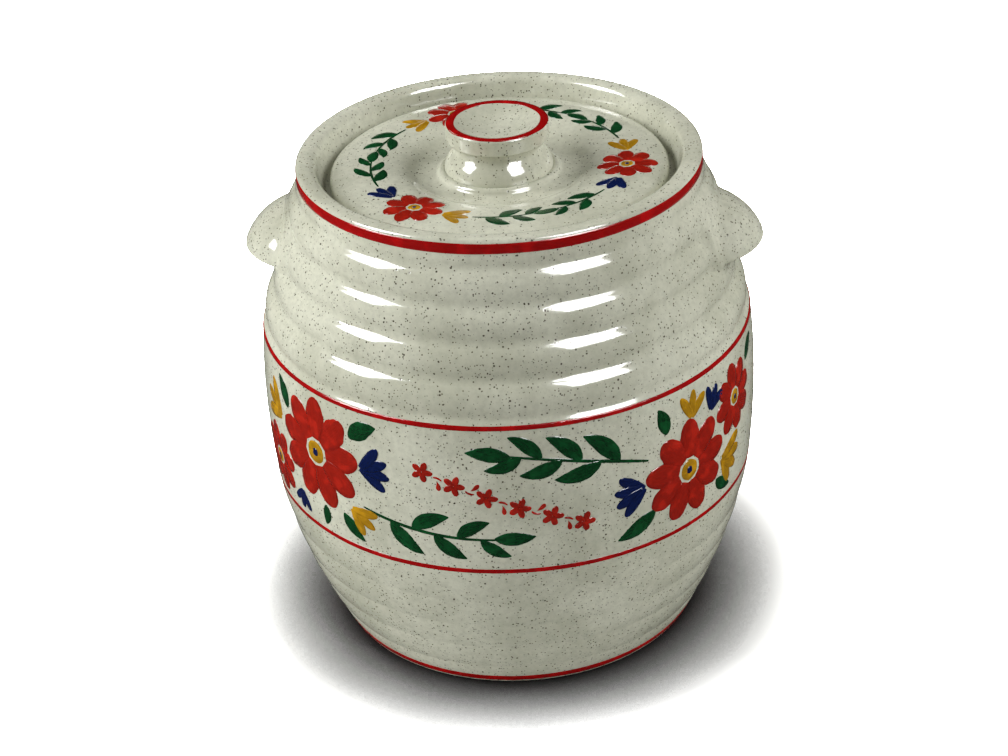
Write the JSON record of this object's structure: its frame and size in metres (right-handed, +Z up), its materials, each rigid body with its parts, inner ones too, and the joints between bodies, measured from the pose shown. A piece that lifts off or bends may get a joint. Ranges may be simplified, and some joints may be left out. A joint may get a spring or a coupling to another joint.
{
  "type": "biscuit jar",
  "caption": "Round ribbed stoneware biscuit jar with side lugs and a sunken lift-off lid with a dished knob.",
  "frame": {"origin": "on the table under the middle of the foot ring", "axes": "+Z up along the jar's axis, +X towards the right lug, -Y towards the painted front"},
  "size_m": [0.2142, 0.2078, 0.221],
  "materials": {
    "jar_glaze": "glossy speckled off-white stoneware glaze with painted red bands and a brush-stroke flower spray",
    "lug_glaze": "glossy speckled off-white stoneware glaze",
    "lid_glaze": "glossy speckled off-white stoneware glaze with painted brush-stroke sprays",
    "knob_glaze": "glossy speckled off-white stoneware glaze with a red band round its top"
  },
  "bodies": {
    "jar": {"jar_body": "jar_glaze", "lug_left": "lug_glaze", "lug_right": "lug_glaze"},
    "lid": {"lid": "lid_glaze", "lid_knob": "knob_glaze"}
  },
  "joints": [
    {"name": "lid_lift", "type": "slide", "parent": "jar", "child": "lid", "axis": [0, 0, 1], "range_m": [0, 0.12]}
  ]
}
